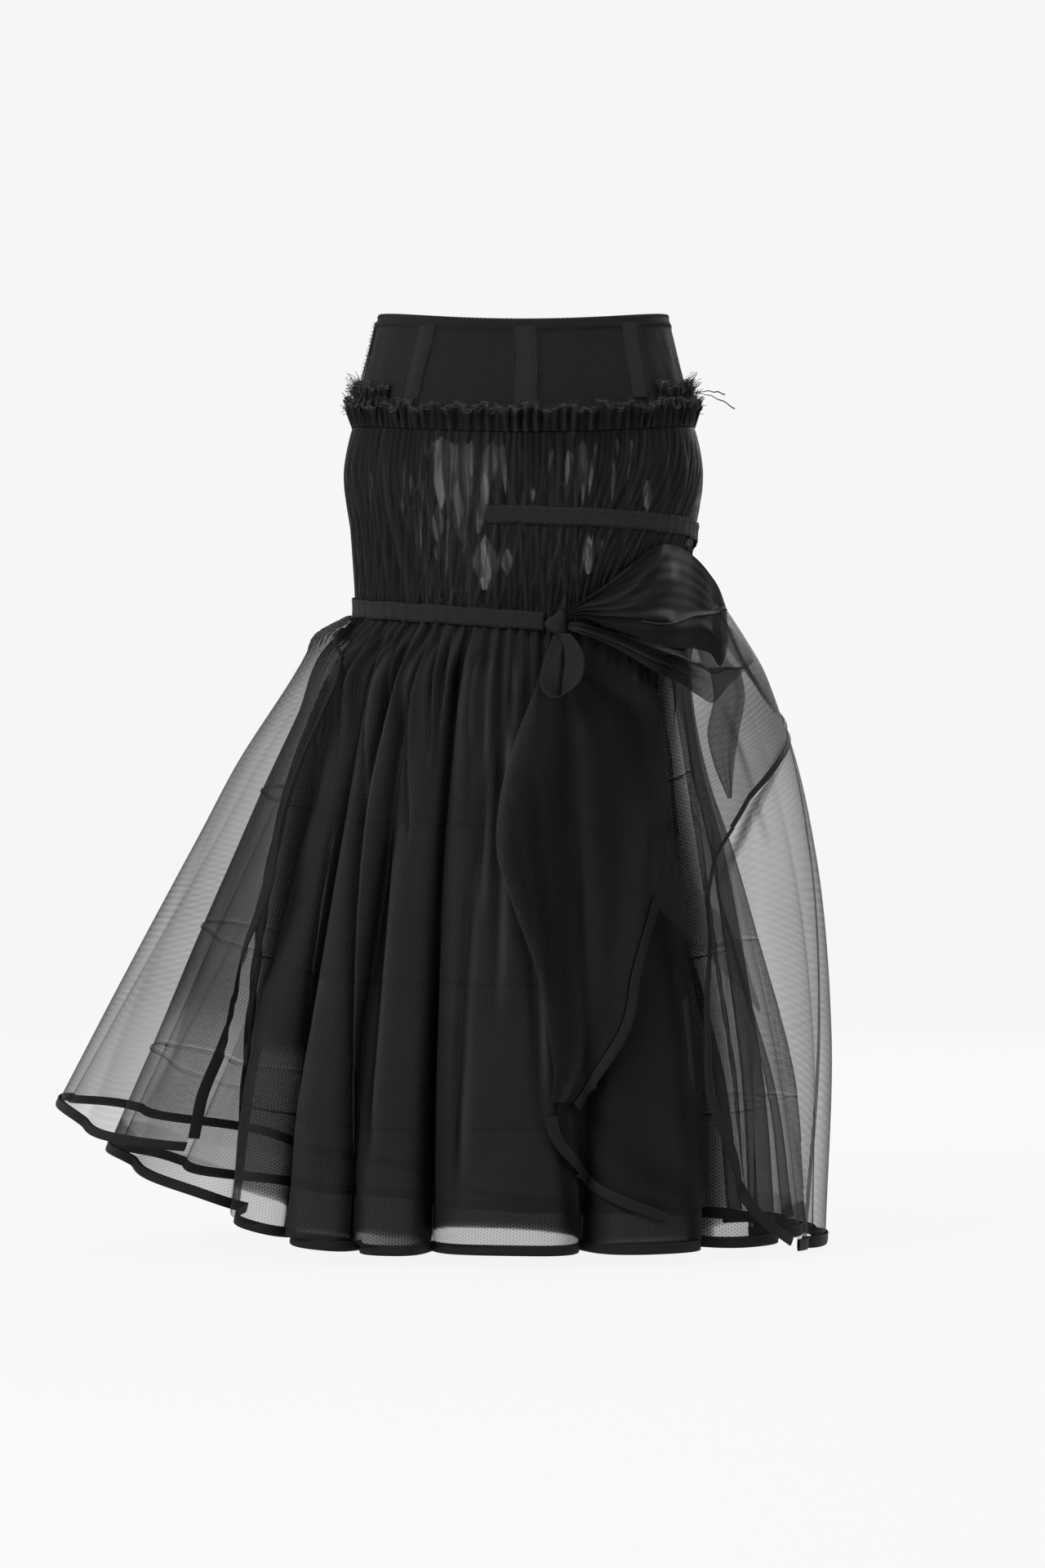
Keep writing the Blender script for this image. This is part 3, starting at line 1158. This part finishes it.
def front_folds(points, drop):
    """The main folds, placed by hand: each bulges out, with a steep edge on the wearer's right. Gives the
    moved points and how far each stands on a fold."""
    out = np.zeros(len(points))
    ridge = np.zeros(len(points))
    for x_1, drop_1, x_2, drop_2, x_3, drop_3, height, width in UNDERSKIRT_FOLDS[1:]:
        middle = through((drop_1, drop_2, drop_3), (x_1, x_2, x_3), drop)
        wide = width * (0.6 + 0.4 * drop)
        away = (points[:, 0] - middle) / wide
        bulge = smooth(-0.22, 0.10, away) * np.exp(-np.maximum(away, 0) ** 2 * 1.6)
        hollow = np.exp(-(((away + 0.26) / 0.19) ** 2))
        grown = smooth(drop_1 - 0.05, drop_1 + 0.08, drop) * (1 - 0.45 * smooth(0.75, 1.0, drop))
        if drop_3 < 1:
            grown = grown * (1 - smooth(drop_3 - 0.12, drop_3 + 0.06, drop))
        grown = grown * (points[:, 1] < 0)
        out += (height * bulge - 0.35 * height * hollow) * grown
        lit = smooth(-0.10, 0.02, away)
        crisp = np.exp(-(((away - 0.03) / 0.07) ** 2))
        tone = 0.24 * lit * np.exp(-np.maximum(away, 0) / 0.45) + 0.20 * crisp - 0.42 * hollow
        ridge += tone * grown
    return points + outwards(points) * out[:, None], ridge


def tier_row(index, lines, drop):
    """The points of one tier at one drop, and how far each stands on a fold."""
    points = under(lines, drop, -MID_WALL)
    top = TIERS[1 + index][1]
    points = gathered(points, lines, drop, top, 1.0 + index, 0.0006 if index else 0.0022)
    points, front_ridge = front_folds(points, drop)
    points, back_ridge = front_folds(points * BACK_TURN, drop)
    return points * BACK_TURN, front_ridge + back_ridge


def build_underskirt():
    lines = fine_lines()
    # Where one cloth laps another, the lap is thin in the sheer flares and full in the close front.
    lap = 0.12 + 0.88 * (1 - smooth(40, 62, np.abs(wrapped(lines))))
    place, _, _ = flute(lines)
    seams = []
    for index, (name, top, bottom, count, over_net) in enumerate(TIERS[1:]):
        drops = np.linspace(top, bottom + (SEAM_ALLOWANCE if bottom < 1 else BINDING_ALLOWANCE), count)
        rows, depth, ridges = [], [], []
        # Each lower tier starts on the cloth of the one above it, so that their seam has no slit.
        meet = tier_row(index - 1, lines, top)[0] - tier_row(index, lines, top)[0] if index else 0
        for drop in drops:
            points, ridge = tier_row(index, lines, drop)
            points = points + meet * (1 - float(smooth(top, top + 0.06, drop)))
            flutes = 0.44 + 0.10 * smooth(0, 0.3, drop) * (1 - 3.2 * np.abs(place) ** 4)
            fine = 0.22 * (1 - float(smooth(0.0, 0.45, drop))) * uneven(lines, 96, 2.0 + index)
            ridges.append(np.clip(flutes + ridge + fine, 0, 1))
            rows.append(points - outwards(points) * (0.0006 * (drop > bottom)))
            depth.append(net_depth(lines, drop, over_net) * (lap if drop > bottom else 1.0))
        if index == 0:
            # The first tier's seam allowance stands up behind the tape.
            rows.insert(0, rows[0] - outwards(rows[0]) * 0.0022 + np.array([0, 0, 0.0060]))
            depth.insert(0, depth[0] * lap)
            ridges.insert(0, ridges[0])
        tier = cloth(name + "_net", rows, NET, closed=True, depth=np.array(depth), ridge=np.array(ridges))
        sewn(tier, (name,))
        if index:
            places = np.linspace(105, 318, 470)
            wave = 0.0044 * (np.arange(len(places)) % 2)
            seams.append(under(places, top + 0.003 + wave, 0.0006))
    threads("tier_zigzag", seams)


def binding_strip(name, nodes, point, is_sheer=False):
    """A folded strip over an edge. point(share, out) gives its points, from its sewn to its folded edge.
    Gives back the stitches along it."""
    rows = [point(share, out) for share, out in BINDING_SECTION[1:]]
    obj = cloth(name, rows, ORGANZA if is_sheer else BINDING, depth=2.2, ridge=0.56)
    sewn(obj, nodes)
    return dashes(point(0.12, 0.0019), stitch=0.0026, gap=0.0010)


def overskirt_lines(drop):
    """The fold lines of the overskirt's fine columns at one drop, from its left edge to its right edge."""
    drops, rights, lefts = columns(OVERSKIRT_EDGES, "drop", "right_side_angle", "left_side_angle")
    left = float(through(drops, lefts, drop))
    right = float(through(drops, rights, drop)) + 360
    behind_left, behind_right = OVERSKIRT_BACK
    lines = fine_lines()
    lines = np.where(lines < 0, lines + 360, lines)
    behind = np.sort(lines[(lines >= behind_left) & (lines <= behind_right)])
    near_left = np.linspace(left, behind_left, LEFT_EDGE_COLUMNS, endpoint=False)
    near_right = np.linspace(right, behind_right, RIGHT_EDGE_COLUMNS, endpoint=False)[::-1]
    return np.concatenate([near_left, behind, near_right])


def creased(rows, depth):
    """Presses creases into the flap: along each line the cloth lifts and lies on itself."""
    rows, depth = np.array(rows), np.array(depth)
    for x_1, z_1, x_2, z_2, x_3, z_3, width, layers in FLAP_CREASES[1:]:
        share = np.linspace(0, 1, 60)
        x = through((0, 0.5, 1), (x_1, x_2, x_3), share)
        z = through((0, 0.5, 1), (z_1, z_2, z_3), share)
        away = np.hypot(rows[..., 0, None] - x, rows[..., 2, None] - z)
        near = away.min(axis=-1)
        fade = np.sin(math.pi * np.clip(away.argmin(axis=-1) / 59, 0.02, 0.98)) ** 0.5
        line = np.exp(-((near / width) ** 2)) * fade * (rows[..., 1] < 0)
        rows = rows + outwards(rows) * (0.0018 * line)[..., None]
        depth = depth + ORGANZA_LAYER * layers * line
    return rows, depth


def build_overskirt():
    rows, depth = [], []
    for drop in np.linspace(0, 1, 190):
        lines = overskirt_lines(drop)
        rows.append(gathered(over(lines, drop, -MID_WALL), lines, drop, 0.0, 6.0, 0.0020))
        depth.append(ORGANZA_LAYER * (1 + 2.2 * math.exp(-drop / 0.05)) + 0 * lines)
    rows, depth = creased(rows, depth)
    skirt = cloth("overskirt_cloth", rows, ORGANZA, depth=depth)
    sewn(skirt, ("overskirt",))
    build_overskirt_fold()
    stitches = []
    lines = overskirt_lines(1.0)

    def hem(share, out):
        return over(lines, 1.0 + HEM_DROP * share, out)

    stitches += binding_strip("overskirt_hem_fold", ("overskirt_hem_binding",), hem)
    for name, edge, side, low, high, widens, wide, least, is_sheer in FRONT_EDGES[1:]:
        drops = np.linspace(low, high, 110)
        width = least + (BINDING_WIDTH - least) * smooth(widens, wide, drops)
        places = np.array([overskirt_lines(drop)[edge] for drop in drops])

        def strip(share, out, places=places, drops=drops, side=side, width=width):
            def raised(line, drop):
                return over(line, drop, out)

            return beside(raised, places, drops, side, EDGE_GAP + width * share)

        nodes = () if is_sheer else (name + "_binding",)
        row = binding_strip(name + "_fold", nodes, strip, is_sheer)
        stitches += [] if is_sheer else row
    closed_lines = fine_lines()
    closed_lines = np.append(closed_lines, closed_lines[0] + 360)

    def under_hem(share, out):
        return under(closed_lines, 1.0 + HEM_DROP * share, out)

    stitches += binding_strip("underskirt_fold", ("underskirt_binding",), under_hem)
    threads("hem_stitching", stitches)


def build_overskirt_fold():
    """The loose fold behind the flap, which shows through beside the front drapes."""
    drops, lefts = columns(OVERSKIRT_EDGES, "drop", "left_side_angle")
    rows, depth = [], []
    for drop in np.linspace(0.02, 0.46, 110):
        lines = np.linspace(30.5, max(float(through(drops, lefts, drop)), 31.5), 56)
        rows.append(over(lines, drop, -0.0012 - 0.012 * (1 - smooth(0.06, 0.20, drop))))
        depth.append(ORGANZA_LAYER * (1.3 + 1.3 * smooth(0.10, 0.24, drop)) + 0 * lines)
    rows, depth = creased(rows, depth)
    veil = cloth("overskirt_fold", rows, ORGANZA, depth=depth)
    sewn(veil, ())


# ---------------------------------------------------------------- drapes, swags, knot and loop
def panel(node, table, flute_share, layers, seed):
    """A drape's cloth: worn ridges fan down it from its top, and its right edge turns back."""
    drops, left, right, out = columns(table, "drop", "left_x", "right_x", "out")
    rows = []
    for drop in np.linspace(drops[0], drops[-1], 90):
        xs = np.linspace(through(drops, left, drop), through(drops, right, drop), 61)
        lift = through(drops, out, drop) + MID_WALL + 0.0012 * uneven(xs * 900 + 12 * drop, 9, seed)
        rows.append(panel_point(xs, drop, flute_share, lift))
    rows = np.array(rows)
    across = np.linspace(0, 1, rows.shape[1])
    down = np.linspace(0, 1, rows.shape[0])[:, None]
    fans = np.sin(9 * across + 3.0 * down + seed) * np.sin(4 * across - 2.5 * down + 2 * seed)
    ridge = 0.46 + 0.22 * fans
    ridge = ridge + 0.16 * np.sin(31 * across * (1 - 0.55 * down) + 2 * seed) * np.exp(-2.4 * down)
    ridge = ridge + 0.34 * np.exp(-across / 0.02) * smooth(0.02, 0.20, down)
    obj = cloth(node + "_cloth", rows, ORGANZA, depth=ORGANZA_LAYER * layers, ridge=np.clip(ridge, 0, 1))
    sewn(obj, (node,))


def panel_edge(node, table, edge, side, start, flute_share):
    """The sheer binding along the lower part of a drape's edge. Gives back its stitches."""
    drops, xs = columns(table, "drop", edge)
    places = np.linspace(start, drops[-1], 90)
    across = through(drops, xs, places)

    def strip(share, out):
        def raised(x, drop):
            return panel_point(x, drop, flute_share, table[-1][-1] + 0.0012 + out)

        return beside(raised, across, places, side, EDGE_GAP + BINDING_WIDTH * share)

    return binding_strip(node + "_fold", (node + "_binding",), strip, is_sheer=True)


def build_drapes():
    leaf, rounded = FRONT_DRAPE_FLUTE_SHARE, UNDER_DRAPE_FLUTE_SHARE
    panel("front_drape", FRONT_DRAPE, leaf, layers=3.0, seed=1.0)
    panel("under_drape", UNDER_DRAPE, rounded, layers=1.5, seed=2.0)
    stitches = panel_edge("front_drape", FRONT_DRAPE, "right_x", side=1, start=0.46, flute_share=leaf)
    stitches += panel_edge("under_drape", UNDER_DRAPE, "left_x", side=-1, start=0.79, flute_share=rounded)
    threads("drape_stitching", stitches)
    drops, left, right = columns(DRAPE_TAIL, "drop", "left_x", "right_x")
    rows = []
    for drop in np.linspace(drops[0], drops[-1], 40):
        xs = np.linspace(through(drops, left, drop), through(drops, right, drop), 13)
        on_drape = panel_point(xs, drop, leaf, TAIL_ON_DRAPE + MID_WALL)
        line = line_at(OVERSKIRT, xs, drop)
        share, out = DRAPE_TAIL_FLUTE_SHARE, DRAPE_TAIL_OUT + MID_WALL
        on_skirt = skirt_point(OVERSKIRT, OVERSKIRT_HEM, line, drop, share, out)
        rows.append(on_drape + (on_skirt - on_drape) * smooth(0.36, 0.46, drop))
    tail = cloth("drape_tail_cloth", rows, ORGANZA, depth=ORGANZA_LAYER * 1.6)
    sewn(tail, ("drape_tail",))


def ridges_on(x, shares, table):
    """Height of the hand-placed ridges of a swag at one station. Each ridge runs through three points."""
    height = 0 * shares
    for x_1, share_1, x_2, share_2, x_3, share_3, tall, width in table[1:]:
        middle = through((x_1, x_2, x_3), (share_1, share_2, share_3), x)
        away = (shares - middle) / width
        ends = smooth(x_1 - 0.008, x_1 + 0.006, x) * (1 - smooth(x_3 - 0.006, x_3 + 0.004, x))
        away = np.where(away < 0, away, away / 0.45)
        height = height + tall * ends * np.exp(-(away**2))
    return height


def swag(node, table, ridges, rim, opens_at, depth, seed, thin_from, base):
    """A gathered loop that fans out from the knot. Above its rim the cloth lies back, inside the loop."""
    xs = column(table, "x")
    shares = np.linspace(0, 1, 73)
    stations, layers, rim_line, worn = [], [], [], []
    for x in np.linspace(xs[0], xs[-1], 150):
        along = (x - xs[0]) / (xs[-1] - xs[0])
        top_z, bottom_z, top_y, bottom_y = (through(xs, column(table, key), x) for key in table[0][1:])
        swell = math.sin(math.pi * min(along * 1.1, 1.0)) ** 0.5
        fine = 0.0003 * np.sin(math.pi * 17 * shares + 2.0 * along + 2 * seed) * swell
        tall = ridges_on(x, shares, ridges)
        raised = tall + fine + 0.0030 * np.sin(math.pi * shares) * swell
        edge = through(*columns(rim, "x", "share"), x)
        above_rim = 1 - smooth(edge - 0.05, edge + 0.02, shares)
        inside = smooth(opens_at, opens_at + 0.010, x) * above_rim
        raised = raised - 0.006 * smooth(opens_at - 0.02, opens_at + 0.03, x) * above_rim
        z = top_z + (bottom_z - top_z) * shares
        y = top_y + (bottom_y - top_y) * shares - raised + 0.002
        stations.append(np.stack([x + 0 * z, y, z], axis=1))
        sheer_end = 1 - 0.72 * float(smooth(*thin_from, x))
        layers.append(depth * sheer_end + 1.4 * inside * sheer_end)
        far = 1 - 0.6 * float(smooth(0.098, 0.125, x))
        tone = (base + 40 * tall + 200 * fine) * far
        worn.append(np.clip(tone * (1 - 0.8 * inside), 0, 1))
        if x > opens_at - 0.03:
            at = float(np.clip(edge + 0.01, 0.01, 0.99))
            rim_line.append([x, np.interp(at, shares, y) - 0.0008, np.interp(at, shares, z)])
    rows = np.array(stations).transpose(1, 0, 2)
    layers = np.array(layers).transpose(1, 0)
    ridge = np.array(worn).transpose(1, 0)
    obj = cloth(node + "_cloth", rows, HIP_CLOTH, depth=thinned(rows, layers, SWAG_THIN), ridge=ridge)
    threads(node + "_rim", [rim_line])
    sewn(obj, (node,))


def build_swags():
    swag("swag_upper", SWAG_UPPER, UPPER_RIDGES, UPPER_RIM,
         opens_at=0.130, depth=5.4, seed=0.4, thin_from=(0.162, 0.178), base=0.28)
    swag("swag_lower", SWAG_LOWER, LOWER_RIDGES, LOWER_RIM,
         opens_at=0.118, depth=3.4, seed=1.3, thin_from=(0.128, 0.160), base=0.60)
    zs, left, right, ys = (column(SWAG_TAIL, key)[::-1] for key in SWAG_TAIL[0])
    rows = []
    for z in np.linspace(-0.3100, zs[0], 60):
        xs = np.linspace(through(zs, left, z), through(zs, right, z), 17)
        across = np.linspace(0, math.pi, len(xs))
        bow = 0.006 * np.sin(across) + 0.0014 * np.sin(4 * across)
        rows.append(np.stack([xs, through(zs, ys, z) - bow, z + 0 * xs], axis=1))
    tail = cloth("swag_tail_cloth", rows, ORGANZA, depth=ORGANZA_LAYER * 3.2)
    sewn(tail, ("swag_tail",))


def build_knot():
    centre = body_point(np.array([KNOT_ANGLE]), np.array([KNOT_Z]), KNOT_OUT)[0]
    around = np.linspace(0, 2 * math.pi, 73)[:-1]
    rows = []
    for lean in np.linspace(0.02, math.pi - 0.02, 41):
        y = -math.cos(lean)
        pinch = 1 - 0.22 * np.cos(3 * around) * (1 - y * y)
        groove = 1 - 0.07 * np.abs(np.sin(6 * around + 2.2 * lean)) * math.sin(lean)
        x = math.sin(lean) * np.cos(around) * pinch * groove * KNOT_HALF[0]
        z = math.sin(lean) * np.sin(around) * pinch * groove * KNOT_HALF[2]
        rows.append(np.stack([x, y * KNOT_HALF[1] + 0 * x, z], axis=1))
    rows = np.array(rows)
    turn = math.radians(KNOT_ANGLE)
    x = rows[..., 0] * math.cos(turn) - rows[..., 1] * math.sin(turn)
    y = rows[..., 0] * math.sin(turn) + rows[..., 1] * math.cos(turn)
    rows = np.stack([x, y, rows[..., 2]], axis=-1) + centre
    wear(cloth("knot_cloth", rows, RIBBON, closed=True), ("knot",))


def build_loop():
    along = np.arange(len(LOOP_RIBBON) - 1)
    at = np.linspace(0, along[-1], 80)
    x, y, z, turned, width = (through(along, column(LOOP_RIBBON, key), at) for key in LOOP_RIBBON[0])
    rows = []
    for side in np.linspace(-0.5, 0.5, 7):
        reach = side * width
        curl = 0.0010 * (2 * side) ** 2
        rad = np.radians(turned)
        rows.append(np.stack([x + np.cos(rad) * reach, y + np.sin(rad) * reach - curl, z], axis=1))
    loop = cloth("small_loop_cloth", np.array(rows), RIBBON, wall=0.0008)
    sewn(loop, ("small_loop",))


# ---------------------------------------------------------------- stage, light and camera
def build_stage():
    """A wide floor, as pale as the world, with a trace of the skirt's shade on it, and three lamps."""
    low = cad_box[0][2] - 0.004
    reach = 40.0
    corners = [(-reach, -reach, low), (reach, -reach, low), (reach, reach, low), (-reach, reach, low)]
    nodes = Nodes("pale_floor")
    glow = nodes.add("ShaderNodeEmission", Color=STUDIO_WHITE, Strength=1.0)
    matt = nodes.add("ShaderNodeBsdfDiffuse", Color=(0.85, 0.85, 0.85, 1))
    mixed = nodes.add("ShaderNodeMixShader", _0=0.04, _1=glow.outputs[0], _2=matt.outputs[0])
    placed("floor", corners, [(0, 1, 2, 3)], nodes.finish(mixed.outputs[0]))

    world = bpy.data.worlds.new("studio")
    world.use_nodes = True
    world.node_tree.nodes["Background"].inputs["Color"].default_value = STUDIO_WHITE
    world.node_tree.nodes["Background"].inputs["Strength"].default_value = 1.0
    bpy.context.scene.world = world
    for name, place, size, power in LIGHTS[1:]:
        data = bpy.data.lights.new(name, "AREA")
        data.size = size
        data.energy = power
        light = bpy.data.objects.new(name, data)
        light.location = place
        aim = np.array(LIGHTS_AIM) - np.array(place)
        level = math.hypot(aim[0], aim[1])
        light.rotation_euler = (math.atan2(level, -aim[2]), 0, math.atan2(aim[1], aim[0]) - math.pi / 2)
        bpy.context.scene.collection.objects.link(light)


def build_camera():
    data = bpy.data.cameras.new("camera")
    data.sensor_fit = "VERTICAL"
    data.sensor_height = 36.0
    data.lens = 104.2
    camera = bpy.data.objects.new("camera", data)
    camera.location = (-0.0007, -4.0, -0.412)
    camera.rotation_euler = (math.pi / 2, 0, 0)
    bpy.context.scene.collection.objects.link(camera)
    bpy.context.scene.camera = camera


build_camera()
build_stage()
build_yoke()
build_strips()
build_ruffles()
build_hip()
build_tape()
build_underskirt()
build_overskirt()
build_drapes()
build_swags()
build_knot()
build_loop()

bpy.context.scene.view_settings.view_transform = "Standard"
bpy.context.scene.cycles.transparent_max_bounces = 32
